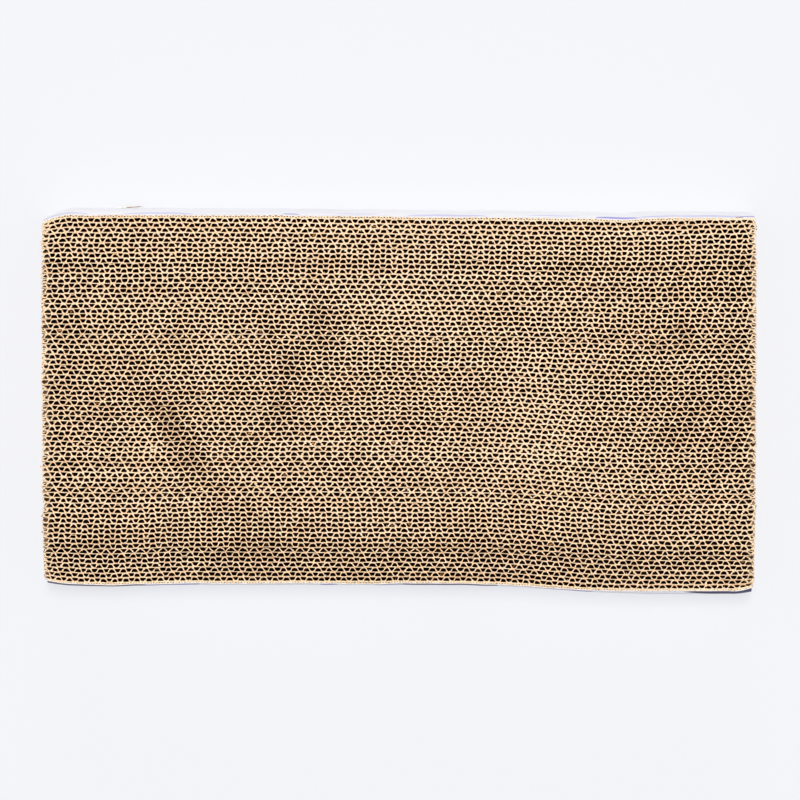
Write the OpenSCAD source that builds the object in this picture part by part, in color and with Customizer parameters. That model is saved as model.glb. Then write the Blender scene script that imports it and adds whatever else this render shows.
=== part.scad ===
// Flat cardboard cat scratcher: a block of corrugated strips on edge, glued
// face to face, with a printed micro flute board down each long side.
// The cut ends of the flutes are the scratching face, and both faces are alike.
// Length lies along X, the strips stack along Y from front to rear, and the
// flutes stand upright along Z. The origin is the centre of the lower face.

/* [Block] */
// Length of the scratcher, which is the length of every strip
block_length = 400; // [200:1:600]
// Thickness of the block, which is the width that every strip is cut to
block_thickness = 45; // [20:1:80]
// Number of corrugated strips between the side boards
strip_count = 72; // [12:6:78]

/* [Strip board] */
// Thickness of the two flat liners of a strip
liner_paper = 0.205; // [0.15:0.005:0.3]
// Thickness of the fluting paper
fluting_paper = 0.2; // [0.1:0.01:0.25]
// Height of the fluting from trough to crest, over its paper
flute_height = 2.4; // [2:0.1:2.8]
// Length of one wave, drawn wider than the 6.4 of real board to keep the model light
flute_pitch = 8.8; // [6.4:0.1:10]

/* [Side boards] */
// Thickness of the white outer liner that carries the print
printed_liner_paper = 0.2; // [0.15:0.005:0.3]
// Thickness of the brown liner that is glued to the strips
side_liner_paper = 0.2; // [0.15:0.005:0.3]
// Thickness of the micro fluting's paper
side_fluting_paper = 0.16; // [0.08:0.01:0.2]
// Height of the micro fluting from trough to crest, over its paper
side_flute_height = 1.26; // [0.9:0.01:1.5]
// Length of one micro wave, drawn wider than the 3.2 of real board like the strips' own
side_flute_pitch = 4.4; // [3.2:0.1:5]

/* [Gluing] */
// Thickness of the glue film between any two papers
glue_film = 0.02; // [0:0.005:0.05]
// Grid on which the strips' waves are shifted against each other
register_grid = 0.1; // [0.1:0.1:0.5]
// Choice of the shifts, as the strips are glued with no register
register_seed = 5; // [1:1:50]

/* [Hidden] */
// Strips whose flutings share a node, and strips whose liners do
flutings_per_node = 3;
liners_per_node = 6;
// Extra length that carries a cut clear of the face it trims
overrun = 1;

strip_caliper = 2 * liner_paper + flute_height + 2 * glue_film;
strip_pitch = strip_caliper + glue_film;
stack_width = strip_count * strip_pitch - glue_film;
side_caliper = printed_liner_paper + side_flute_height + side_liner_paper + 2 * glue_film;
block_width = stack_width + 2 * (glue_film + side_caliper);
register_shares = rands(0, 1, strip_count, register_seed);

fluting_nodes = [for (first = [1 : flutings_per_node : strip_count])
    node_name("fluting", first, flutings_per_node)];
front_liner_nodes = [for (first = [1 : liners_per_node : strip_count])
    node_name("front_liners", first, liners_per_node)];
rear_liner_nodes = [for (first = [1 : liners_per_node : strip_count])
    node_name("rear_liners", first, liners_per_node)];
side_board_nodes = [
    "front_board_printed_liner", "front_board_micro_fluting", "front_board_inner_liner",
    "rear_board_printed_liner", "rear_board_micro_fluting", "rear_board_inner_liner",
];

// Round pieces
$fn = 24;

function two_digits(number) = number < 10 ? str("0", number) : str(number);

// Name of the node that holds a run of strips, such as fluting_04_06
function node_name(kind, first, run) =
    str(kind, "_", two_digits(first), "_", two_digits(first + run - 1));

// Front face of a strip, counted from 1 at the front
function strip_front(strip) = -stack_width / 2 + (strip - 1) * strip_pitch;

// Shift of a strip's waves, rounded to the grid and less than one wave
function strip_shift(strip) =
    floor(register_shares[strip - 1] * flute_pitch / register_grid) * register_grid;

// Radius of the arcs whose centre line climbs from a trough to a crest in half a wave
function arc_radius(pitch, height, paper) =
    let (run = pitch / 4, rise = (height - paper) / 2)
    (run * run + rise * rise) / (2 * rise);

// Paper bent round one crest or trough, before its arc is cut out
module paper_ring(radius, paper) {
    difference() {
        circle(radius + paper / 2);
        circle(radius - paper / 2);
    }
}

// Arcs of paper about a row of centres, kept on one side of the line that joins
// every crest's centre to the next trough's, where the two bends meet
module row_of_arcs(centres, radius, paper, centre_line, far_side) {
    ends = [centre_line[len(centre_line) - 1][0], centre_line[0][0]];
    intersection() {
        for (centre = centres) translate(centre) paper_ring(radius, paper);
        polygon(concat(centre_line, [for (x = ends) [x, far_side]]));
    }
}

// End view of a fluting: crest and trough arcs in turn, trimmed to the block's length
module wave_outline(pitch, height, paper, shift) {
    radius = arc_radius(pitch, height, paper);
    crest_level = height - paper / 2 - radius;
    trough_level = paper / 2 + radius;
    first_crest = -block_length / 2 + shift - pitch;
    crests = [for (wave = [0 : ceil(block_length / pitch) + 1])
        [first_crest + wave * pitch, crest_level]];
    troughs = [for (crest = crests) [crest[0] + pitch / 2, trough_level]];
    centre_line = [for (wave = [0 : len(crests) - 1]) each [crests[wave], troughs[wave]]];
    intersection() {
        union() {
            row_of_arcs(crests, radius, paper, centre_line, height + overrun + radius);
            row_of_arcs(troughs, radius, paper, centre_line, -overrun - radius);
        }
        translate([-block_length / 2, -overrun])
            square([block_length, height + 2 * overrun]);
    }
}

module fluting(front, pitch, height, paper, shift) {
    translate([0, front, 0])
        linear_extrude(block_thickness) wave_outline(pitch, height, paper, shift);
}

module flat_liner(front, paper) {
    translate([-block_length / 2, front, 0])
        cube([block_length, paper, block_thickness]);
}

// Flutings of a run of strips, each between its own two liners
module strip_flutings(first) {
    color("burlywood")
        for (strip = [first : first + flutings_per_node - 1])
            fluting(strip_front(strip) + liner_paper + glue_film,
                flute_pitch, flute_height, fluting_paper, strip_shift(strip));
}

module front_liners(first) {
    color("tan")
        for (strip = [first : first + liners_per_node - 1])
            flat_liner(strip_front(strip), liner_paper);
}

module rear_liners(first) {
    color("tan")
        for (strip = [first : first + liners_per_node - 1])
            flat_liner(strip_front(strip) + strip_caliper - liner_paper, liner_paper);
}

// A side board lies on the stack with its brown liner inside and its print outside
module side_inner_liner() {
    color("tan") flat_liner(stack_width / 2 + glue_film, side_liner_paper);
}

module side_fluting() {
    color("burlywood")
        fluting(stack_width / 2 + side_liner_paper + 2 * glue_film,
            side_flute_pitch, side_flute_height, side_fluting_paper, side_flute_pitch / 4);
}

module side_printed_liner() {
    color("white") flat_liner(block_width / 2 - printed_liner_paper, printed_liner_paper);
}

// The front board is the rear one turned end for end
module at_front() {
    rotate([0, 0, 180]) children();
}

for (first = [1 : flutings_per_node : strip_count])
    strip_flutings(first);
for (first = [1 : liners_per_node : strip_count]) {
    front_liners(first);
    rear_liners(first);
}
at_front() side_printed_liner();  // front_board_printed_liner
at_front() side_fluting();  // front_board_micro_fluting
at_front() side_inner_liner();  // front_board_inner_liner
side_printed_liner();  // rear_board_printed_liner
side_fluting();  // rear_board_micro_fluting
side_inner_liner();  // rear_board_inner_liner
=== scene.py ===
# Flat corrugated cardboard cat scratcher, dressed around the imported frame.
# Every paper is drawn in plan as a line, thickened and raised through the block,
# so its cut edges can fray and the whole stack can sag, bow and dent together.
# Lengths are in millimetres until a mesh is made.
import math

import bmesh
import bpy
import numpy as np
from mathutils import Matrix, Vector


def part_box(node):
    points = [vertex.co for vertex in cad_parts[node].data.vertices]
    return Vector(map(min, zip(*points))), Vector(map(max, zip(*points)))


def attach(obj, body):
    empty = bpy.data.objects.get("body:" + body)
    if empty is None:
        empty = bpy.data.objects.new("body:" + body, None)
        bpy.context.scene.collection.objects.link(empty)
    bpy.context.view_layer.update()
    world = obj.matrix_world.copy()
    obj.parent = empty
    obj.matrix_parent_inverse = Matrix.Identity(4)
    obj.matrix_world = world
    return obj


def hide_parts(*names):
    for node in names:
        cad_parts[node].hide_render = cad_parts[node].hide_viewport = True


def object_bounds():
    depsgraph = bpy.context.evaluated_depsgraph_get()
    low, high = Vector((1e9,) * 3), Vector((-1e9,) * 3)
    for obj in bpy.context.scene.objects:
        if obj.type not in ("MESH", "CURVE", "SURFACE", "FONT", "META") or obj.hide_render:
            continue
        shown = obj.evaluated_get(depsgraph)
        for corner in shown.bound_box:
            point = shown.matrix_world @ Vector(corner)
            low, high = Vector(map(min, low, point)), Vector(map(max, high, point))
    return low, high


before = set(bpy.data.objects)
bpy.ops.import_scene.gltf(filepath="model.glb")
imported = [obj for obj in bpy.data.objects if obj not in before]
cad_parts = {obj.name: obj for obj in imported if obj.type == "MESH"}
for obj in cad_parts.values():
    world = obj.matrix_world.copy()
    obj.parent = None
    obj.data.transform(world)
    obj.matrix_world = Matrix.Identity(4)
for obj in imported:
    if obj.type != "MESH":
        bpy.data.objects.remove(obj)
cadBox = [list(corner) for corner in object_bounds()]
print("stage: frame loaded,", len(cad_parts), "nodes")

mm = 0.001

# Every random choice comes from the seed and a number of its own
seed = 7
choices = {
    "rows": 1, "edges": 2, "lips": 3, "drift": 5, "boardTuck": 8,
    "register": 50, "strips": 100, "boards": 500,
}

# The block as the frame holds it
stripsPerFluting = 3
stripsPerLiner = 6
stripCount = max(int(name.split("_")[-1]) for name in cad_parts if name.startswith("fluting"))
endLeft = cadBox[0][0] / mm
endRight = cadBox[1][0] / mm
blockHeight = cadBox[1][2] / mm
blockFront = cadBox[0][1] / mm
blockRear = cadBox[1][1] / mm
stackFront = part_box("front_liners_01_06")[0].y / mm
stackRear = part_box("rear_liners_67_72")[1].y / mm
stripPitch = (stackRear - stackFront) / stripCount
glueFilm = 0.02


def smoothStep(share):
    share = np.clip(share, 0, 1)
    return share * share * (3 - 2 * share)


def bump(place, centre, reach):
    return np.exp(-((place - centre) / reach) ** 2)


def addObject(name, data):
    made = bpy.data.objects.new(name, data)
    bpy.context.scene.collection.objects.link(made)
    return made


softWaves = {"count": 6, "runShares": (0.6, 1.6)}


def softNoise(x, y, reach, choice):
    # Sum of sloping sine waves about one reach long, with unit spread
    draw = np.random.default_rng([seed, choice])
    total = 0
    for _ in range(softWaves["count"]):
        heading, phase = draw.uniform(0, 2 * math.pi, 2)
        run = reach * draw.uniform(*softWaves["runShares"])
        along = x * math.cos(heading) + y * math.sin(heading)
        total = total + np.sin(along * 2 * math.pi / run + phase)
    return total / math.sqrt(softWaves["count"] / 2)


# How the glued stack has settled, away from a true block

slump = {
    "rearRise": 1.4, "rearSag": 1.9, "rearSagFrom": -150, "rearSagRun": 260,
    "rearLift": 0.55, "rearLiftFrom": 120, "rearLiftRun": 80,
    "rearDent": 0.9, "rearDentAt": 124, "rearDentReach": 13, "dentRows": 5,
    "frontRise": 0.35, "frontFall": 5.4, "frontFallFrom": 32, "frontFallRun": 115,
    "frontBelly": 0.9, "frontBellyAt": -165, "frontBellyReach": 28,
    "rowRipple": 0.14, "rippleRun": 95, "calmPower": 4,
    "edgeRipple": 0.1, "edgeRippleRun": 30, "edgeRippleStretch": 0.3,
    "faceTuck": 1.5, "rearTuckShare": 0.5, "tuckRows": 14, "tuckDrop": 2.4,
    "tuckMore": 0.7, "tuckMoreFrom": 100, "tuckMoreRun": 60,
    "curlDrop": 2.5,
}

# Crushed corners: the end and the side, how far it gives at the upper and the lower face,
# how much more right at a face, its reach along the end, how many millimetres of rows
# follow, and how sharply it sets in. The last one bulges out.
corners = [
    {"end": -1, "side": 1, "upper": 3.9, "lower": 5.9, "curl": 0.3, "run": 14.5, "rows": 11, "power": 1.4},
    {"end": -1, "side": -1, "upper": 1.8, "lower": 1.4, "curl": 0.6, "run": 14, "rows": 8, "power": 1.4},
    {"end": 1, "side": -1, "upper": 1.5, "lower": 0.6, "curl": 1.0, "run": 11, "rows": 7, "power": 1.4},
    {"end": 1, "side": 1, "upper": 1.7, "lower": 1.5, "curl": 0, "run": 44, "rows": 2.2, "power": 0.7},
    {"end": 1, "side": 1, "upper": -0.9, "lower": -0.3, "curl": 0, "run": 60, "rows": 30, "power": 0.9},
]


def rowShift(x, y):
    # How far a row has moved, at every height alike
    share = (y - blockFront) / (blockRear - blockFront)
    sag = smoothStep((x - slump["rearSagFrom"]) / slump["rearSagRun"])
    lift = smoothStep((x - slump["rearLiftFrom"]) / slump["rearLiftRun"])
    rear = slump["rearRise"] - slump["rearSag"] * sag + slump["rearLift"] * lift
    belly = bump(x, slump["frontBellyAt"], slump["frontBellyReach"])
    fall = smoothStep((x - slump["frontFallFrom"]) / slump["frontFallRun"])
    front = slump["frontRise"] - slump["frontBelly"] * belly - slump["frontFall"] * fall
    shift = share * rear + (1 - share) * front
    middle = 1 - (2 * share - 1) ** slump["calmPower"]
    shift = shift + slump["rowRipple"] * middle * softNoise(x, y, slump["rippleRun"], choices["rows"])
    stretchedY = y * slump["edgeRippleStretch"]
    ripple = softNoise(x, stretchedY, slump["edgeRippleRun"], choices["edges"])
    shift = shift + slump["edgeRipple"] * ripple
    dent = bump(x, slump["rearDentAt"], slump["rearDentReach"])
    return shift - slump["rearDent"] * dent * np.exp((y - blockRear) / slump["dentRows"])


def settle(x, y, z):
    # Where a point of the true block lies in the real one
    shift = rowShift(x, y)
    depth = np.minimum(z, blockHeight - z)
    tuck = slump["faceTuck"] * np.exp(-depth / slump["tuckDrop"])
    more = 1 + slump["tuckMore"] * smoothStep((x - slump["tuckMoreFrom"]) / slump["tuckMoreRun"])
    shift = shift + tuck * more * np.exp((blockFront - y) / slump["tuckRows"])
    shift = shift - slump["rearTuckShare"] * tuck * np.exp((y - blockRear) / slump["tuckRows"])
    for corner in corners:
        end = endRight if corner["end"] > 0 else endLeft
        edge = blockRear if corner["side"] > 0 else blockFront
        give = corner["lower"] + (corner["upper"] - corner["lower"]) * z / blockHeight
        give = give + corner["curl"] * np.exp(-depth / slump["curlDrop"])
        near = np.clip(1 - np.abs(x - end) / corner["run"], 0, 1) ** corner["power"]
        shift = shift - corner["side"] * give * near * np.exp(-np.abs(y - edge) / corner["rows"])
    return x, y + shift


# Papers as meshes

finishPlace = {"cut": 0, "face": 1, "white": 2}  # places in a piece's list of finishes
creaseAngle = 38  # degrees from which an edge stays sharp


class PaperMesh:
    # Gathers closed sheets and small forms into one piece
    def __init__(self):
        self.points = []
        self.faces = []
        self.finishes = []
        self.count = 0

    def add(self, points, faces, finishes):
        self.points.append(points)
        self.faces.append(faces + self.count)
        self.finishes.append(np.broadcast_to(finishes, len(faces)))
        self.count += len(points)

    def raisePaper(self, line, levels, lean=None, edge="cut"):
        # The line is the paper's middle in plan. Each level is a height and a half width, or
        # a pair of half widths for the front and the rear side. The edge names the rims' finish.
        n = len(line)
        ringSize = 2 * n
        rings = []
        for height, half in levels:
            z = np.broadcast_to(height, n)
            x, y = line[:, 0], line[:, 1]
            if lean is not None:
                y = y + lean(x, z)
            middle = np.stack(settle(x, y, z), axis=1)
            run = np.gradient(middle, axis=0)
            run = run / np.linalg.norm(run, axis=1)[:, None]
            aside = np.stack([-run[:, 1], run[:, 0]], axis=1)
            front, rear = np.broadcast_to(half, (2, n))[:, :, None]
            ring = np.concatenate([middle - aside * front, (middle + aside * rear)[::-1]])
            rings.append(np.column_stack([ring, np.concatenate([z, z[::-1]])]))
        near = np.arange(ringSize)
        far = (near + 1) % ringSize
        faces = []
        finishes = []
        for level in range(len(levels) - 1):
            low, high = level * ringSize, (level + 1) * ringSize
            faces.append(np.stack([near + low, far + low, far + high, near + high], axis=1))
            finish = np.full(ringSize, finishPlace["face"])
            finish[[n - 1, ringSize - 1]] = finishPlace[edge]
            finishes.append(finish)
        right = np.arange(n - 1)
        left = ringSize - 1 - right
        top = (len(levels) - 1) * ringSize
        faces.append(np.stack([right, right + 1, left - 1, left], axis=1) + top)
        faces.append(np.stack([left, left - 1, right + 1, right], axis=1))
        finishes.append(np.full(2 * (n - 1), finishPlace[edge]))
        self.add(np.concatenate(rings), np.concatenate(faces), np.concatenate(finishes))

    def build(self, name, finishes, slot, nodes):
        mesh = bpy.data.meshes.new(name)
        faces = [face for part in self.faces for face in part.tolist()]
        mesh.from_pydata(np.concatenate(self.points) * mm, [], faces)
        for finish in finishes:
            mesh.materials.append(finish)
        mesh.polygons.foreach_set("material_index", np.concatenate(self.finishes).astype(np.int32))
        mesh.polygons.foreach_set("use_smooth", np.ones(len(mesh.polygons), bool))
        mesh.set_sharp_from_angle(angle=math.radians(creaseAngle))
        piece = addObject(name, mesh)
        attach(piece, "root")
        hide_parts(*nodes)


# Finishes

class Wire:
    # A socket that adds, takes away, multiplies and divides like a number
    def __init__(self, finish, socket):
        self.finish = finish
        self.socket = socket

    def __add__(self, other):
        return self.finish.maths("ADD", self, other)

    def __radd__(self, other):
        return self.finish.maths("ADD", other, self)

    def __sub__(self, other):
        return self.finish.maths("SUBTRACT", self, other)

    def __rsub__(self, other):
        return self.finish.maths("SUBTRACT", other, self)

    def __mul__(self, other):
        return self.finish.maths("MULTIPLY", self, other)

    def __rmul__(self, other):
        return self.finish.maths("MULTIPLY", other, self)

    def __truediv__(self, other):
        return self.finish.maths("DIVIDE", self, other)

    def __rtruediv__(self, other):
        return self.finish.maths("DIVIDE", other, self)


class Finish:
    # One material and the nodes behind it
    def __init__(self, name):
        self.material = bpy.data.materials.new(name)
        self.material.use_nodes = True
        self.tree = self.material.node_tree
        self.tree.nodes.clear()

    def node(self, kind, settings, sockets, result=0):
        made = self.tree.nodes.new(kind)
        for key, value in settings.items():
            setattr(made, key, value)
        for key, value in sockets.items():
            self.set(made.inputs[key], value)
        return Wire(self, made.outputs[result]) if len(made.outputs) else None

    def set(self, target, value):
        if isinstance(value, Wire):
            self.tree.links.new(value.socket, target)
        elif isinstance(value, tuple) and target.type == "RGBA":
            target.default_value = (*value, 1)
        else:
            target.default_value = value

    def maths(self, operation, first, second=0.0):
        return self.node("ShaderNodeMath", {"operation": operation}, {0: first, 1: second})

    def place(self):
        # Object coordinates in millimetres
        spot = self.node("ShaderNodeTexCoord", {}, {}, "Object")
        return self.node("ShaderNodeVectorMath", {"operation": "SCALE"}, {0: spot, "Scale": 1 / mm})

    def axes(self, vector):
        parts = self.node("ShaderNodeSeparateXYZ", {}, {0: vector}).socket.node
        return [Wire(self, part) for part in parts.outputs]

    def stretch(self, vector, scale):
        return self.node("ShaderNodeVectorMath", {"operation": "MULTIPLY"}, {0: vector, 1: scale})

    def noise(self, vector, size, detail, roughness=0.55):
        sockets = {"Vector": vector, "Scale": 1 / size, "Detail": detail, "Roughness": roughness}
        return self.node("ShaderNodeTexNoise", {}, sockets)

    def fade(self, value, low, high):
        # Smooth step from 0 at low to 1 at high
        sockets = {"Value": value, "From Min": low, "From Max": high}
        return self.node("ShaderNodeMapRange", {"interpolation_type": "SMOOTHSTEP"}, sockets)

    def mix(self, share, first, second, blend="MIX"):
        settings = {"data_type": "RGBA", "blend_type": blend}
        return self.node("ShaderNodeMix", settings, {0: share, 6: first, 7: second}, 2)

    def bump(self, height, distance, strength):
        sockets = {"Height": height, "Distance": distance, "Strength": strength}
        return self.node("ShaderNodeBump", {}, sockets)

    def show(self, surface):
        self.node("ShaderNodeOutputMaterial", {}, {"Surface": surface})
        return self.material

    def wear(self, **sockets):
        named = {key.replace("_", " "): value for key, value in sockets.items()}
        return self.show(self.node("ShaderNodeBsdfPrincipled", {}, named))


cutEdge = {
    "flutingPale": (0.87, 0.715, 0.51), "flutingBrown": (0.66, 0.455, 0.265),
    "linerPale": (0.91, 0.74, 0.52), "linerBrown": (0.69, 0.475, 0.275),
    "rowSize": 4, "rowStretch": (0.04, 1.0, 0.1), "rowShare": 0.2, "fibreSize": 0.7,
    "paleTo": 0.40, "brownFrom": 0.62, "roughness": 0.92, "gloss": 0.1,
    "bumpDepth": 0.3 * mm, "bumpStrength": 0.6,
}


def makeCutEdge(name, pale, brown):
    # Sawn, fuzzy edge of kraft paper
    finish = Finish(name)
    spot = finish.place()
    row = finish.noise(finish.stretch(spot, cutEdge["rowStretch"]), cutEdge["rowSize"], detail=2.0)
    fibre = finish.noise(spot, cutEdge["fibreSize"], detail=4.0, roughness=0.7)
    share = row * cutEdge["rowShare"] + fibre * (1 - cutEdge["rowShare"])
    colour = finish.mix(finish.fade(share, cutEdge["paleTo"], cutEdge["brownFrom"]), pale, brown)
    return finish.wear(
        Base_Color=colour, Roughness=cutEdge["roughness"], Specular_IOR_Level=cutEdge["gloss"],
        Normal=finish.bump(fibre, cutEdge["bumpDepth"], cutEdge["bumpStrength"]),
    )


# The light and dark tones turn to the deep one, a painted shade, further down the flutes,
# and the outer tone shows at the block's ends
paperFace = {
    "outer": (0.66, 0.47, 0.30), "light": (0.78, 0.38, 0.145), "dark": (0.58, 0.265, 0.09),
    # deep is a painted shade, near black, that stands in for the shade down the cells
    "deep": (0.020, 0.006, 0.003), "paintedShadeTo": 2.1, "outerFrom": 0.6, "outerTo": 4.5, "outerShade": 0.5,
    "patchSize": 14, "patchShare": 0.5, "fibreSize": 0.7, "fibreStretch": (1.0, 1.0, 0.25),
    "lightTo": 0.35, "darkFrom": 0.65, "roughness": 0.85, "bumpDepth": 0.2 * mm, "bumpStrength": 0.4,
}


def makePaperFace():
    # Face of kraft paper
    finish = Finish("kraft_paper_face")
    spot = finish.place()
    across, _, up = finish.axes(spot)
    patch = finish.noise(spot, paperFace["patchSize"], detail=2.0)
    fibreSpot = finish.stretch(spot, paperFace["fibreStretch"])
    fibre = finish.noise(fibreSpot, paperFace["fibreSize"], detail=4.0, roughness=0.65)
    shade = patch * paperFace["patchShare"] + fibre * (1 - paperFace["patchShare"])
    shade = finish.fade(shade, paperFace["lightTo"], paperFace["darkFrom"])
    colour = finish.mix(shade, paperFace["light"], paperFace["dark"])
    depth = finish.maths("MINIMUM", up, blockHeight - up)
    # Painted shade: the colour turns to deep with the depth below either cut face
    colour = finish.mix(finish.fade(depth, 0, paperFace["paintedShadeTo"]), colour, paperFace["deep"])
    fromMiddle = finish.maths("ABSOLUTE", across)
    outside = finish.fade(fromMiddle, endRight - paperFace["outerTo"], endRight - paperFace["outerFrom"])
    outer = finish.mix(shade * paperFace["outerShade"], paperFace["outer"], paperFace["dark"])
    colour = finish.mix(outside, colour, outer)
    return finish.wear(
        Base_Color=colour, Roughness=paperFace["roughness"], Specular_IOR_Level=0.0,
        Normal=finish.bump(fibre, paperFace["bumpDepth"], paperFace["bumpStrength"]),
    )


# The print is a plain row of mounds along the cut edges, in blue and violet inks.
# Each has a start and an end along the board, a depth at which the ink begins, the
# depth of its top and an ink.
inks = {
    "navy": (0.028, 0.026, 0.10), "violet": (0.33, 0.30, 0.68),
    "lavender": (0.62, 0.60, 0.82), "purple": (0.20, 0.13, 0.42),
}
frontMounds = [
    (-118, -52, 3, 9, "lavender"), (-152, -112, 1.2, 8, "purple"), (-210, -143, 0.6, 13, "navy"),
    (-45, -34, 1.2, 4, "purple"), (-14, 8, 1.2, 7, "purple"), (48, 92, 3, 8, "lavender"),
    (84, 110, 1.2, 6, "purple"), (2, 56, 0.7, 12, "navy"), (106, 168, 3, 9, "lavender"),
    (162, 250, 0.3, 4.4, "navy"), (182, 216, 0.9, 13, "navy"),
]
rearMounds = [
    (-206, -174, 2.5, 9, "lavender"), (-156, -114, 2, 8, "lavender"), (-66, -55, 2, 5, "violet"),
    (-40, -8, 5, 9, "lavender"), (4, 50, 2, 10, "lavender"), (68, 104, 5, 10, "lavender"),
    (132, 162, 2, 8, "lavender"), (110, 134, 1.4, 9, "violet"), (152, 198, 2, 10, "lavender"),
    (190, 208, 2, 6, "violet"),
]
printing = {"blur": 0.3, "wobble": 0.5, "wobbleSize": 1.2, "startWobble": 0.5}
whiteCoat = {
    "white": (0.90, 0.895, 0.915), "shade": (0.86, 0.85, 0.885), "paintedEdgeShade": (0.80, 0.78, 0.84),
    "patchSize": 40, "whiteTo": 0.35, "shadeFrom": 0.7, "grainSize": 0.6, "grainBump": 0.25,
    # The painted edge shade greys the white within a few millimetres of the cut edges, standing in for
    # shade on the tucked rim
    "paintedEdgeShadeFrom": 0.5, "paintedEdgeShadeTo": 3.0, "paintedEdgeShadeShare": 0.8,
    "scuffSize": 3.0, "scuffShares": (0.66, 0.74), "scuffFrom": 0.4, "scuffTo": 3.5,
    "roughness": 0.42, "grainRoughness": 0.1, "gloss": 0.4,
    "ridgeBump": 0.5, "bumpDepth": 0.06 * mm, "bumpStrength": 0.5,
}
# Torn spots of the rear board: start and end, height of the edge, reach from the edge
tears = [(-160, -145, 0, 2.6), (188.5, 193.5, blockHeight, 2.2)]
tearing = {"colour": (0.33, 0.20, 0.09), "size": 2.4, "ragged": 2.6, "rim": (0.9, 1.1)}


def makeWhiteCoat(name, mounds, torn, bothEdges):
    # White printed liner
    finish = Finish(name)
    spot = finish.place()
    across, _, up = finish.axes(spot)
    depth = finish.maths("MINIMUM", up, blockHeight - up)
    printed = depth if bothEdges else blockHeight - up
    patch = finish.noise(spot, whiteCoat["patchSize"], detail=3.0)
    grain = finish.noise(spot, whiteCoat["grainSize"], detail=3.0)
    patch = finish.fade(patch, whiteCoat["whiteTo"], whiteCoat["shadeFrom"])
    colour = finish.mix(patch, whiteCoat["white"], whiteCoat["shade"])
    wobble = (finish.noise(spot, printing["wobbleSize"], detail=2.0) - 0.5) * printing["wobble"]
    blur = printing["blur"]
    for start, end, near, top, ink in mounds:
        sideways = (across - (start + end) / 2) / ((end - start) / 2)
        downward = printed / top
        gap = finish.maths("SQRT", sideways * sideways + downward * downward) + wobble / top
        inside = finish.fade(gap, 1 + blur / top, 1 - blur / top)
        begun = printed + wobble * printing["startWobble"]
        inside = inside * finish.fade(begun, near - blur, near + blur)
        colour = finish.mix(inside, colour, inks[ink])
    # Painted shade: the white is darkened near both cut edges, to dull the tucked rim that leans toward
    # the light
    paintedEdgeShade = 1 - finish.fade(depth, whiteCoat["paintedEdgeShadeFrom"], whiteCoat["paintedEdgeShadeTo"])
    colour = finish.mix(paintedEdgeShade * whiteCoat["paintedEdgeShadeShare"], colour, whiteCoat["paintedEdgeShade"], "MULTIPLY")
    ragged = finish.noise(spot, tearing["size"], detail=5.0, roughness=0.7) - 0.5
    ragged = ragged * tearing["ragged"]
    for start, end, edge, reach in torn:
        away = finish.maths("ABSOLUTE", across - (start + end) / 2) / ((end - start) / 2)
        gap = finish.maths("ABSOLUTE", up - edge) / reach + ragged + away * away * away
        colour = finish.mix(1 - finish.fade(gap, *tearing["rim"]), colour, tearing["colour"])
    scuff = finish.noise(spot, whiteCoat["scuffSize"], detail=6.0, roughness=0.7)
    scuff = finish.fade(scuff, *whiteCoat["scuffShares"])
    scuff = scuff * (1 - finish.fade(depth, whiteCoat["scuffFrom"], whiteCoat["scuffTo"]))
    colour = finish.mix(scuff, colour, whiteCoat["white"])
    ridge = finish.maths("SINE", across * (2 * math.pi / sideBoard["pitch"]))
    relief = ridge * whiteCoat["ridgeBump"] + grain * whiteCoat["grainBump"]
    return finish.wear(
        Base_Color=colour, Roughness=whiteCoat["roughness"] + grain * whiteCoat["grainRoughness"],
        Normal=finish.bump(relief, whiteCoat["bumpDepth"], whiteCoat["bumpStrength"]),
        Specular_IOR_Level=whiteCoat["gloss"],
    )


whiteEdge = {
    "white": (0.80, 0.79, 0.77), "tan": (0.72, 0.58, 0.43), "fibreSize": 1.4,
    "whiteTo": 0.4, "tanFrom": 0.62, "roughness": 0.85, "bumpDepth": 0.2 * mm, "bumpStrength": 0.4,
}


def makeWhiteEdge():
    # Cut edge of the white liner, where the brown core shows in places
    finish = Finish("white_liner_cut_edge")
    spot = finish.place()
    fibre = finish.noise(spot, whiteEdge["fibreSize"], detail=4.0, roughness=0.7)
    share = finish.fade(fibre, whiteEdge["whiteTo"], whiteEdge["tanFrom"])
    colour = finish.mix(share, whiteEdge["white"], whiteEdge["tan"])
    return finish.wear(
        Base_Color=colour, Roughness=whiteEdge["roughness"],
        Normal=finish.bump(fibre, whiteEdge["bumpDepth"], whiteEdge["bumpStrength"]),
    )


# Strips

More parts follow.
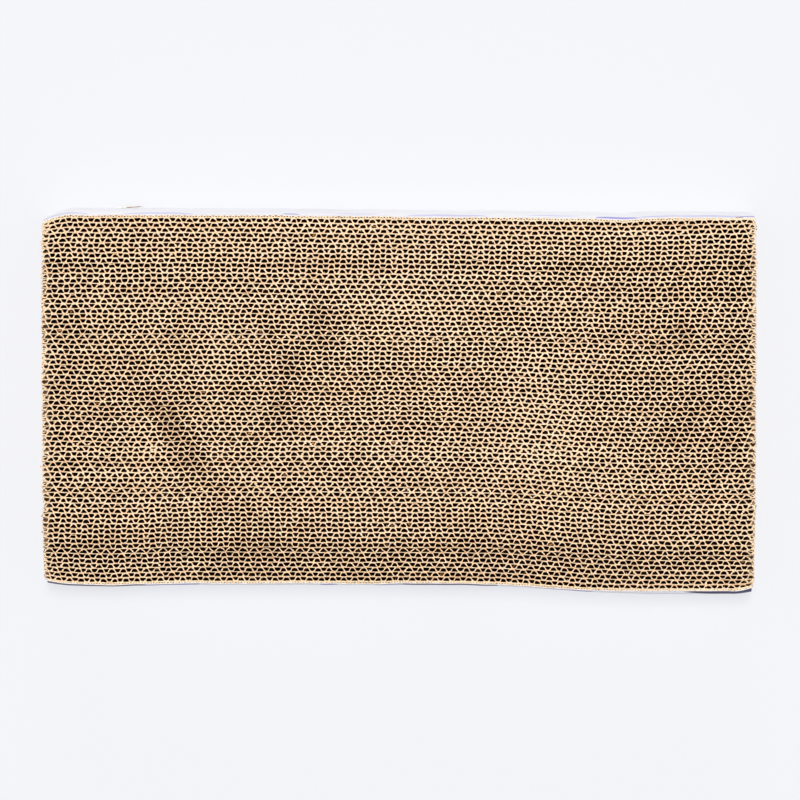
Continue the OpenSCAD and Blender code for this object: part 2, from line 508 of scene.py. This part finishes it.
# A turn is half a wave. turnShares are the points in each, and the lips are the half widths
# of the cut edge at the points of one wave, on the paper's front and rear side.
strip = {
    "liner": 0.205, "fluting": 0.2,
    "pitch": 6.43, "pitchSpread": 0.005, "knotSpread": 0.035, "knotMost": 0.1, "spareTurns": 12,
    "driftSpread": 0.07, "driftRun": 150, "inStep": 0.55, "stepSpread": 0.08,
    "crestBias": 0.05, "biasSpread": 0.14, "riseSpread": 0.06, "skewSpread": 0.12, "turnSkewShare": 0.5,
    "crushedShare": 0.02, "crushedTo": (0.55, 0.85),
    "square": 3.0, "squareSpread": 0.25, "squareLeast": 1.2,
    "squareRear": 1.0, "squareRearFrom": 0.35, "squareRearRun": 0.6,
    "turnShares": (0, 0.22, 0.37, 0.5, 0.63, 0.78),
    "frontLips": (0.10, 0.21, 0.50, 0.16, 0.38, 0.16, 0.10, 0.16, 0.38, 0.16, 0.50, 0.21),
    "rearLips": (0.10, 0.16, 0.48, 0.16, 0.44, 0.20, 0.11, 0.20, 0.44, 0.16, 0.48, 0.16),
    "bendJitter": 0.38, "bendLimits": (0.5, 1.6), "linerLip": 0.12,
    "lipSpread": 0.04, "lipRun": 22, "lipJitter": 0.27, "lipLimits": (0.55, 1.7),
    "skirtDrop": 0.3, "skirt": 0.15, "linerSkirt": 0.03, "lipDrop": 0.8,
    "rowSpread": 0.07, "rowMost": 0.2, "cutSpread": 0.1, "ragged": 0.07, "openPatch": 0.58,
    "overLength": 1.2, "endSpread": 0.3, "cornerTrim": 1.0, "trimRows": 5.0,
    "openEnds": 0.4, "endFlare": 1.5, "flareRun": 1.4, "endPinch": (0.15, 0.95), "pinchRun": 2.0,
    "linerStep": 1.7, "linerStepSpread": 0.3,
}

# Where claws have opened the cells, and where they stand closer: middle, direction in
# degrees, half length, half width and strength
openPatches = [
    (-126, -19, -57, 36, 7.5, 1.15), (-43, 46, -80, 15, 7, 1.0), (-62, 20, 75, 11, 7, 0.9),
    (-66, -5, 80, 13, 8, 0.6), (-74, 42, -75, 14, 6, 0.4), (-123, 35, 90, 13, 7, 0.45),
    (160, 42, 80, 10, 6, 0.85), (155, -16, 0, 8, 7, 0.45), (185, -22, 0, 10, 9, 0.4),
    (166, -12, 90, 26, 20, 0.3), (0, -88, 0, 400, 17, 0.8), (-85, -76, 0, 20, 18, 0.4),
    (-50, -74, 0, 9, 6, 0.35), (-128, -68, 0, 8, 7, 0.35), (-165, -74, 0, 16, 9, 0.3),
    (-170, -8, 0, 19, 7, 0.35), (-82, -26, 60, 9, 6, 0.4), (94, 75, 90, 8, 6, 0.35),
    (66, 45, -45, 10, 5, 0.35), (42, 28, 0, 14, 6, 0.2), (-157, 66, 90, 14, 8, 0.25),
    (188, 30, 90, 50, 10, 0.25), (-188, 20, 90, 70, 9, 0.2), (8, -104, 0, 110, 7, 0.5),
]
closedPatches = [
    (8, 52, 0, 30, 16, 0.6), (80, -12, -75, 42, 24, 0.55), (100, 58, 0, 30, 14, 0.25),
    (-140, -22, -60, 20, 7, 0.3), (-100, 25, 90, 20, 12, 0.25), (0, 92, 0, 400, 7, 0.2),
]


def inPatches(x, y, patches):
    total = 0
    for atX, atY, heading, halfLength, halfWidth, weight in patches:
        turn = math.radians(heading)
        along = (x - atX) * math.cos(turn) + (y - atY) * math.sin(turn)
        aside = (y - atY) * math.cos(turn) - (x - atX) * math.sin(turn)
        total = total + weight * np.exp(-(along / halfLength) ** 2 - (aside / halfWidth) ** 2)
    return total


def lipWidth(x, y, base, flares, draw):
    # Half width of a frayed cut edge, which is matted together at most strips' ends
    loose = 1 + strip["lipSpread"] * softNoise(x, y, strip["lipRun"], choices["lips"])
    loose = loose + strip["lipJitter"] * draw.standard_normal(len(x))
    loose = loose - strip["openPatch"] * inPatches(x, y, openPatches)
    loose = loose + strip["openPatch"] * inPatches(x, y, closedPatches)
    flare = flares[0] * np.exp((x[0] - x) / strip["flareRun"])
    flare = flare + flares[1] * np.exp((x - x[-1]) / strip["flareRun"])
    return base * (np.clip(loose, *strip["lipLimits"]) + flare)


def layRegister():
    # Share of a wave by which each strip is shifted; neighbours off one sheet stay nearly in step
    draw = np.random.default_rng([seed, choices["register"]])
    near = draw.normal(0, strip["stepSpread"], stripCount)
    far = draw.uniform(-0.5, 0.5, stripCount)
    return np.cumsum(np.where(draw.random(stripCount) < strip["inStep"], near, far)) % 1


class Strip:
    # One corrugated strip: how its waves run and how its ends were cut
    def __init__(self, number, register):
        self.draw = np.random.default_rng([seed, choices["strips"] + number])
        self.front = stackFront + (number - 1) * stripPitch
        self.middle = self.front + stripPitch / 2
        trim = math.exp((1 - number) / strip["trimRows"])
        trim = trim + math.exp((number - stripCount) / strip["trimRows"])
        over = strip["overLength"] - strip["cornerTrim"] * trim
        self.left = endLeft - over + abs(self.draw.normal(0, strip["endSpread"]))
        self.right = endRight + over - abs(self.draw.normal(0, strip["endSpread"]))
        most = strip["rowMost"]
        self.fuzz = 1 + np.clip(self.draw.normal(0, strip["rowSpread"]), -most, most)
        opened = self.draw.random(2) < strip["openEnds"]
        self.pinch = np.where(opened, 0, self.draw.uniform(*strip["endPinch"], 2))
        self.flares = np.where(opened, 0, strip["endFlare"])
        self.cut = np.abs(self.draw.normal(0, strip["cutSpread"], 2))
        rearward = (number - 1) / (stripCount - 1)
        rearward = smoothStep((rearward - strip["squareRearFrom"]) / strip["squareRearRun"])
        square = strip["square"] + strip["squareRear"] * rearward
        self.square = max(strip["squareLeast"], square + self.draw.normal(0, strip["squareSpread"]))
        self.layWaves(register)

    def layWaves(self, register):
        # Crests and troughs lie at the knots, and each turn runs from one to the next
        draw = self.draw
        pitch = strip["pitch"] * (1 + draw.normal(0, strip["pitchSpread"]))
        turnCount = int(2 * (endRight - endLeft) / pitch) + strip["spareTurns"]
        whole = np.arange(turnCount + 1)
        knots = (endRight + endLeft) / 2 + pitch * (register + (whole - turnCount // 4 * 2) / 2)
        drift = softNoise(knots, self.front, strip["driftRun"], choices["drift"])
        knots = knots + pitch * strip["driftSpread"] * drift
        uneven = draw.normal(0, strip["knotSpread"], turnCount + 1)
        knots = knots + pitch * np.clip(uneven, -strip["knotMost"], strip["knotMost"])
        rises = 1 - np.abs(draw.normal(0, strip["riseSpread"], turnCount + 1))
        crushed = draw.random(turnCount + 1) < strip["crushedShare"]
        rises[crushed] *= draw.uniform(*strip["crushedTo"], crushed.sum())
        skew = draw.normal(0, strip["skewSpread"])
        skew = skew + strip["turnSkewShare"] * draw.normal(0, strip["skewSpread"], turnCount + 1)
        turns = (np.arange(turnCount)[:, None] + np.array(strip["turnShares"])).ravel()
        angle = turns * math.pi + np.interp(turns, whole, skew) * np.sin(2 * turns * math.pi)
        wander = np.interp(turns, whole, draw.standard_normal(turnCount + 1))
        bias = strip["crestBias"] + strip["biasSpread"] * wander
        high = np.tanh(self.square * (1 + bias))
        low = np.tanh(self.square * (bias - 1))
        wave = 2 * (np.tanh(self.square * (np.cos(angle) + bias)) - low) / (high - low) - 1
        self.waveX = np.interp(turns, whole, knots)
        self.waveRise = wave * np.interp(turns, whole, rises)
        self.cellX = knots
        self.cellUp = whole % 2 == 0

    def pinchAt(self, x):
        # How far the papers are pressed together near the strip's ends
        atLeft = self.pinch[0] * bump(x, self.left, strip["pinchRun"])
        return atLeft + self.pinch[1] * bump(x, self.right, strip["pinchRun"])

    def flutingLip(self, x):
        # Glue and fuzz fill the bends beside the liners, and the flanks fray
        sides = []
        for lips in (strip["frontLips"], strip["rearLips"]):
            jitter = 1 + strip["bendJitter"] * self.draw.standard_normal(len(self.waveX))
            jitter = np.clip(jitter, *strip["bendLimits"])
            wide = np.resize(np.array(lips), len(self.waveX))
            sides.append(np.interp(x, self.waveX, lips[0] + (wide - lips[0]) * jitter))
        return np.array(sides)

    def flutingLine(self):
        inner = (self.waveX > self.left) & (self.waveX < self.right)
        x = np.concatenate([[self.left], self.waveX[inner], [self.right]])
        rise = np.interp(x, self.waveX, self.waveRise)
        reach = stripPitch / 2 - strip["liner"] - strip["fluting"] / 2 - glueFilm
        return np.stack([x, self.middle + rise * reach * (1 - self.pinchAt(x))], axis=1)

    def linerLine(self, side):
        # side is -1 for the front liner and 1 for the rear one
        count = int((self.right - self.left) / strip["linerStep"])
        x = np.linspace(self.left, self.right, count)
        spread = strip["linerStepSpread"]
        x[1:-1] += self.draw.uniform(-spread, spread, count - 2) * strip["linerStep"]
        reach = stripPitch / 2 - strip["liner"] / 2 - glueFilm / 2
        return np.stack([x, self.middle + side * reach * (1 - self.pinchAt(x))], axis=1)

    def levels(self, line, paper, lip, skirt):
        # Each cut edge is a pale lip over a skirt of brown fuzz
        x, y = line[:, 0], line[:, 1]
        ragged = np.abs(self.draw.normal(0, strip["ragged"], (2, len(x))))
        lower, upper = (self.fuzz * lipWidth(x, y, lip, self.flares, self.draw) for _ in range(2))
        return [
            (self.cut[0] + ragged[0], lower),
            (self.cut[0] + strip["skirtDrop"], lower + skirt),
            (self.cut[0] + strip["lipDrop"], paper / 2),
            (blockHeight - self.cut[1] - strip["lipDrop"], paper / 2),
            (blockHeight - self.cut[1] - strip["skirtDrop"], upper + skirt),
            (blockHeight - self.cut[1] - ragged[1], upper),
        ]


# Torn fibres that stand off the cut edges. Each ring is a share of the length and of the width.
fray = {
    "perStrip": 130, "whiteShare": 0.004, "length": (0.4, 1.4), "width": (0.12, 0.32), "thick": 0.05,
    "bendSpread": 0.9, "sink": (-0.15, 0.7), "sinkPower": 1.5, "root": 0.1,
    "rings": ((0, 1), (0.4, 0.9), (0.75, 0.6)), "lowest": 0.02, "standOff": 0.2, "clearPoints": 2,
}


def makeShreds(owner, line):
    # Tapering curls, three rings of three points and a tip
    draw = owner.draw
    count = fray["perStrip"]
    picks = draw.integers(fray["clearPoints"], len(line) - fray["clearPoints"], count)
    upper = draw.random(count) < 0.5
    start = np.stack(settle(line[picks, 0], line[picks, 1], np.where(upper, blockHeight, 0)), axis=1)
    heading = draw.uniform(0, 2 * math.pi, count)
    length = draw.uniform(*fray["length"], count)
    bend = draw.normal(0, fray["bendSpread"], count)
    sink = draw.uniform(*fray["sink"], count) * length
    width = draw.uniform(*fray["width"], count)
    rings = []
    for share, wide in fray["rings"]:
        turn = heading + bend * share
        x = start[:, 0] + np.cos(heading + bend * share / 2) * length * share
        y = start[:, 1] + np.sin(heading + bend * share / 2) * length * share
        depth = fray["root"] + sink * share ** fray["sinkPower"]
        side = np.stack([-np.sin(turn), np.cos(turn)], axis=1) * (width * wide / 2)[:, None]
        for offset, lift in ((-1, 0), (1, 0), (0, fray["thick"])):
            level = np.where(upper, blockHeight - depth + lift, depth - lift)
            rings.append(np.stack([x + offset * side[:, 0], y + offset * side[:, 1], level], axis=1))
    tipX = start[:, 0] + np.cos(heading + bend / 2) * length
    tipY = start[:, 1] + np.sin(heading + bend / 2) * length
    tipLevel = np.where(upper, blockHeight - fray["root"] - sink, fray["root"] + sink)
    rings.append(np.stack([tipX, tipY, tipLevel], axis=1))
    points = np.stack(rings, axis=1)
    points[:, :, 2] = np.clip(points[:, :, 2], fray["lowest"], blockHeight + fray["standOff"])
    faces = [(0, 2, 1)]
    for ring in (0, 3):
        for one, two in ((0, 1), (1, 2), (2, 0)):
            faces.append((ring + one, ring + two, ring + two + 3))
            faces.append((ring + one, ring + two + 3, ring + one + 3))
    faces += [(6, 7, 9), (7, 8, 9), (8, 6, 9)]
    white = draw.random(count) < fray["whiteShare"]
    return points, np.array(faces), np.where(white, finishPlace["white"], finishPlace["cut"])


def repeatForm(points, faces, finishes):
    # One small closed form for every set of points
    count, size = points.shape[:2]
    shifted = faces[None] + (np.arange(count) * size)[:, None, None]
    return points.reshape(-1, 3), shifted.reshape(-1, 3), np.repeat(finishes, len(faces))


# Bent slips of paper lodged in the cells below the cut edge
flap = {
    "share": 0.016, "long": (1.2, 2.4), "wide": (0.5, 1.1), "deep": (1.2, 2.4), "thick": 0.12,
    "fromEnds": 2, "offMiddle": 0.35, "turnSpread": 0.3, "tiltSpread": 0.9, "foldSpread": 0.35,
    "fromFaces": 0.1,
}


def makeFlaps(owner):
    # Each is a plate of two panels
    draw = owner.draw
    picked = np.flatnonzero(draw.random(len(owner.cellX)) < flap["share"])
    place = owner.cellX[picked]
    picked = picked[(place > endLeft + flap["fromEnds"]) & (place < endRight - flap["fromEnds"])]
    count = len(picked)
    upper = draw.random(count) < 0.5
    depth = draw.uniform(*flap["deep"], count)
    height = np.where(upper, blockHeight - depth, depth)
    toward = np.where(owner.cellUp[picked], -flap["offMiddle"], flap["offMiddle"])
    x, y = settle(owner.cellX[picked], owner.middle + toward, height)
    halfLong = draw.uniform(*flap["long"], count) / 2
    halfWide = draw.uniform(*flap["wide"], count) / 2
    turn = draw.normal(0, flap["turnSpread"], count)
    tilt = draw.normal(0, flap["tiltSpread"], count)
    fold = draw.normal(0, flap["foldSpread"], count)
    rims = []
    for layer in (0, 1):
        for along in (-1, 0, 1):
            for aside in (-1, 1):
                dx = along * halfLong * np.cos(turn) - aside * halfWide * np.sin(turn)
                dy = along * halfLong * np.sin(turn) + aside * halfWide * np.cos(turn)
                dz = aside * halfWide * tilt + (fold if along == 0 else 0) + layer * flap["thick"]
                rims.append(np.stack([x + dx, y + dy, height + dz], axis=1))
    points = np.stack(rims, axis=1)
    points[:, :, 2] = np.clip(points[:, :, 2], flap["fromFaces"], blockHeight - flap["fromFaces"])
    quads = [(0, 2, 3, 1), (2, 4, 5, 3), (6, 7, 9, 8), (8, 9, 11, 10)]
    quads += [(0, 1, 7, 6), (4, 10, 11, 5), (0, 6, 8, 2), (2, 8, 10, 4), (1, 3, 9, 7), (3, 5, 11, 9)]
    faces = [half for a, b, c, d in quads for half in ((a, b, c), (a, c, d))]
    return points, np.array(faces), np.full(count, finishPlace["face"])


# Side boards of micro flute. The levelDepths are how far in from each cut edge the papers
# have points.
sideBoard = {
    "outer": 0.2, "inner": 0.2, "paper": 0.16, "pitch": 3.2, "pointsPerWave": 8, "linerPoints": 240,
    "lip": 0.32, "outerLip": 0.2, "innerLip": 0.3, "lipSpread": 0.18, "lipLimits": (0.6, 1.5),
    "ragged": 0.05, "levelDepths": (0.5, 1.6, 4, 12),
    "tuck": 0.6, "rearTuck": 0.35, "tuckDrop": 1.7, "tuckSpread": 0.4, "tuckRun": 60,
    "outerTuck": 1, "middleTuck": 0.5, "innerTuck": 0, "frontInset": (1.5, 0.9), "rearInset": (0.6, 0.4),
}
# Sliver that peels off the first torn spot: how far its ends stand off, height and thickness
sliver = {
    "near": 0.4, "far": 1.3, "farPower": 1.6, "low": 0.4, "high": 2.4, "highLoss": 0.5,
    "half": 0.22, "halfFrom": 1.2, "halfSpread": 0.25, "halfLimits": (0.3, 1.5), "points": 12,
}


def peelSliver(outer, outerFace, draw):
    share = np.linspace(0, 1, sliver["points"])
    x = tears[0][0] + (tears[0][1] - tears[0][0]) * share
    y = outerFace + sliver["near"] + (sliver["far"] - sliver["near"]) * share ** sliver["farPower"]
    half = sliver["halfFrom"] - share + sliver["halfSpread"] * draw.standard_normal(sliver["points"])
    half = sliver["half"] * np.clip(half, *sliver["halfLimits"])
    rise = sliver["high"] * (1 - sliver["highLoss"] * share)
    levels = [(sliver["low"], half), (sliver["low"] + rise, half)]
    outer.raisePaper(np.stack([x, y], axis=1), levels, edge="face")


def makeBoardPapers(side):
    # side is -1 for the front board and 1 for the rear one
    draw = np.random.default_rng([seed, choices["boards"] + side])
    outerFace = blockRear if side > 0 else blockFront
    innerFace = stackRear if side > 0 else stackFront
    outerY = outerFace - side * sideBoard["outer"] / 2
    innerY = innerFace + side * (sideBoard["inner"] / 2 + glueFilm)
    halfLiner = (sideBoard["outer"] + sideBoard["inner"]) / 4
    reach = abs(outerY - innerY) / 2 - sideBoard["paper"] / 2 - halfLiner
    tuckDepth = sideBoard["rearTuck"] if side > 0 else sideBoard["tuck"]

    def tuckIn(share):
        # The cut edge is pressed in towards the stack, the outer paper most
        def lean(x, z):
            depth = np.minimum(z, blockHeight - z)
            uneven = softNoise(x, 0, sideBoard["tuckRun"], choices["boardTuck"] + side)
            uneven = 1 - sideBoard["tuckSpread"] + sideBoard["tuckSpread"] * np.clip(uneven, -1, 1)
            return -side * share * tuckDepth * uneven * np.exp(-depth / sideBoard["tuckDrop"])
        return lean

    def levels(x, paper, lip):
        loose = 1 + sideBoard["lipSpread"] * draw.standard_normal(len(x))
        width = lip * np.clip(loose, *sideBoard["lipLimits"])
        ragged = np.abs(draw.normal(0, sideBoard["ragged"], (2, len(x))))
        lower = [(depth, paper / 2) for depth in sideBoard["levelDepths"]]
        upper = [(blockHeight - depth, half) for depth, half in reversed(lower)]
        return [(ragged[0], width)] + lower + upper + [(blockHeight - ragged[1], width[::-1])]

    inset = sideBoard["rearInset"] if side > 0 else sideBoard["frontInset"]
    left, right = endLeft + inset[0], endRight - inset[1]
    x = np.linspace(left, right, sideBoard["linerPoints"])
    outer = PaperMesh()
    line = np.stack([x, np.full(len(x), outerY)], axis=1)
    outerLevels = levels(x, sideBoard["outer"], sideBoard["outerLip"])
    outer.raisePaper(line, outerLevels, tuckIn(sideBoard["outerTuck"]))
    if side > 0:
        peelSliver(outer, outerFace, draw)
    inner = PaperMesh()
    line = np.stack([x, np.full(len(x), innerY)], axis=1)
    innerLevels = levels(x, sideBoard["inner"], sideBoard["innerLip"])
    inner.raisePaper(line, innerLevels, tuckIn(sideBoard["innerTuck"]))
    waves = (right - left) / sideBoard["pitch"]
    turns = np.arange(int(waves * sideBoard["pointsPerWave"]) + 1) / sideBoard["pointsPerWave"]
    waveX = left + turns * sideBoard["pitch"]
    waveY = (outerY + innerY) / 2 + reach * np.sin(turns * 2 * math.pi)
    micro = PaperMesh()
    line = np.stack([waveX, waveY], axis=1)
    microLevels = levels(waveX, sideBoard["paper"], sideBoard["lip"])
    micro.raisePaper(line, microLevels, tuckIn(sideBoard["middleTuck"]))
    return outer, micro, inner


paperFaceFinish = makePaperFace()
whiteEdgeFinish = makeWhiteEdge()
flutingEdgeFinish = makeCutEdge("fluting_cut_edge", cutEdge["flutingPale"], cutEdge["flutingBrown"])
flutingKraft = [flutingEdgeFinish, paperFaceFinish, whiteEdgeFinish]
linerKraft = [makeCutEdge("liner_cut_edge", cutEdge["linerPale"], cutEdge["linerBrown"]), paperFaceFinish]
print("stage: finishes made")

strips = [Strip(number, register) for number, register in enumerate(layRegister(), 1)]
for first in range(1, stripCount + 1, stripsPerFluting):
    last = first + stripsPerFluting - 1
    name = f"fluting_{first:02d}_{last:02d}"
    papers = PaperMesh()
    for one in strips[first - 1:last]:
        line = one.flutingLine()
        levels = one.levels(line, strip["fluting"], one.flutingLip(line[:, 0]), strip["skirt"])
        papers.raisePaper(line, levels)
        papers.add(*repeatForm(*makeShreds(one, line)))
        papers.add(*repeatForm(*makeFlaps(one)))
    papers.build(name + "_waves", flutingKraft, "kraft_fluting", [name])
print("stage: flutings made")

for first in range(1, stripCount + 1, stripsPerLiner):
    last = first + stripsPerLiner - 1
    for side, word in ((-1, "front"), (1, "rear")):
        papers = PaperMesh()
        for one in strips[first - 1:last]:
            line = one.linerLine(side)
            levels = one.levels(line, strip["liner"], strip["linerLip"], strip["linerSkirt"])
            papers.raisePaper(line, levels)
        name = f"{word}_liners_{first:02d}_{last:02d}"
        papers.build(name + "_papers", linerKraft, "kraft_liner", [name])
print("stage: liners made")

for side, word, mounds, torn in ((-1, "front", frontMounds, []), (1, "rear", rearMounds, tears)):
    outer, micro, inner = makeBoardPapers(side)
    coatFinishes = [whiteEdgeFinish, makeWhiteCoat(word + "_board_print", mounds, torn, side < 0)]
    outer.build(f"{word}_board_print", coatFinishes, "printed_liner", [f"{word}_board_printed_liner"])
    micro.build(f"{word}_board_waves", linerKraft, "micro_fluting", [f"{word}_board_micro_fluting"])
    inner.build(f"{word}_board_backing", linerKraft, "kraft_liner", [f"{word}_board_inner_liner"])
print("stage: side boards made")


# Floor, light and camera, with lengths in metres but for the camera's sensor and aim

studio = {
    "pale": (0.913, 0.921, 0.956), "matte": 0.8, "ambient": 0.38,
    "floorHalf": 12.0, "floorDrop": 0.0002, "shadowShare": 0.24,
    "domeRadius": 16.0, "domeSegments": 32, "domeRings": 16,
    "keyTilt": 11, "keyDistance": 8.0, "keySize": (0.8, 2.2), "keyPower": 626,
    "fillPower": 0.52, "fillHeight": 12, "fillSpread": 20,
}
view = {
    "distance": 3.4, "tilt": 6.1, "shown": 0.4501, "sensor": 36, "clipEnd": 50,
    "aimX": 0.56, "aimY": 1.1,
}


def makeGlow(name, colour, matteShare):
    # Part glow and part matt paint, so that little shading shows
    finish = Finish(name)
    matte = studio["matte"]
    glow = finish.node("ShaderNodeEmission", {}, {"Color": colour})
    plain = finish.node("ShaderNodeBsdfDiffuse", {}, {"Color": (matte, matte, matte)})
    return finish.show(finish.node("ShaderNodeMixShader", {}, {0: matteShare, 1: glow, 2: plain}))


def makeFloor():
    # The floor glows a little, so it stays as pale as the backdrop and its shadow is faint
    half = studio["floorHalf"]
    share = studio["shadowShare"]
    keyLevel = studio["keyPower"] / (math.pi * studio["keyDistance"]) ** 2
    keyLevel = keyLevel * math.cos(math.radians(studio["keyTilt"]))
    fillLevel = studio["fillPower"] * math.sin(math.radians(studio["fillHeight"])) / math.pi
    lit = [studio["matte"] * (keyLevel + fillLevel + studio["ambient"] * tone) for tone in studio["pale"]]
    glow = tuple(max((tone - share * level) / (1 - share), 0) for tone, level in zip(studio["pale"], lit))
    mesh = bpy.data.meshes.new("floor")
    rim = [(-half, -half), (half, -half), (half, half), (-half, half)]
    mesh.from_pydata([(x, y, -studio["floorDrop"]) for x, y in rim], [], [(0, 1, 2, 3)])
    mesh.materials.append(makeGlow("floor", glow, share))
    floor = addObject("floor", mesh)


def makeBackdrop():
    # A pale dome far behind, which only the camera sees
    shape = bmesh.new()
    segments, rings = studio["domeSegments"], studio["domeRings"]
    bmesh.ops.create_uvsphere(shape, u_segments=segments, v_segments=rings, radius=studio["domeRadius"])
    mesh = bpy.data.meshes.new("backdrop")
    shape.to_mesh(mesh)
    shape.free()
    mesh.materials.append(makeGlow("backdrop", studio["pale"], 0))
    dome = addObject("backdrop", mesh)
    dome.visible_diffuse = False
    dome.visible_glossy = False
    dome.visible_transmission = False
    dome.visible_shadow = False


def makeLight():
    world = bpy.data.worlds.new("studio")
    bpy.context.scene.world = world
    world.use_nodes = True
    backdrop = world.node_tree.nodes["Background"]
    backdrop.inputs["Color"].default_value = (*studio["pale"], 1)
    backdrop.inputs["Strength"].default_value = studio["ambient"]
    lamp = bpy.data.lights.new("key", "AREA")
    lamp.shape = "RECTANGLE"
    lamp.size, lamp.size_y = studio["keySize"]
    lamp.energy = studio["keyPower"]
    key = addObject("key", lamp)
    tilt = math.radians(studio["keyTilt"])
    key.location = (0, studio["keyDistance"] * math.sin(tilt), studio["keyDistance"] * math.cos(tilt))
    key.rotation_euler = (-tilt, 0, 0)
    glance = bpy.data.lights.new("fill", "SUN")
    glance.energy = studio["fillPower"]
    glance.angle = math.radians(studio["fillSpread"])
    fill = addObject("fill", glance)
    fill.rotation_euler = (math.radians(studio["fillHeight"] - 90), 0, 0)


def makeCamera():
    tilt = math.radians(view["tilt"])
    aim = Vector((view["aimX"] * mm, view["aimY"] * mm, blockHeight * mm))
    data = bpy.data.cameras.new("camera")
    data.sensor_width = view["sensor"]
    data.lens = view["sensor"] * view["distance"] / view["shown"]
    data.clip_end = view["clipEnd"]
    camera = addObject("camera", data)
    camera.location = aim + view["distance"] * Vector((0, math.sin(tilt), math.cos(tilt)))
    camera.rotation_euler = (-tilt, 0, 0)
    bpy.context.scene.camera = camera


makeFloor()
makeBackdrop()
makeLight()
makeCamera()
bpy.context.scene.view_settings.view_transform = "Standard"
print("stage: studio made")
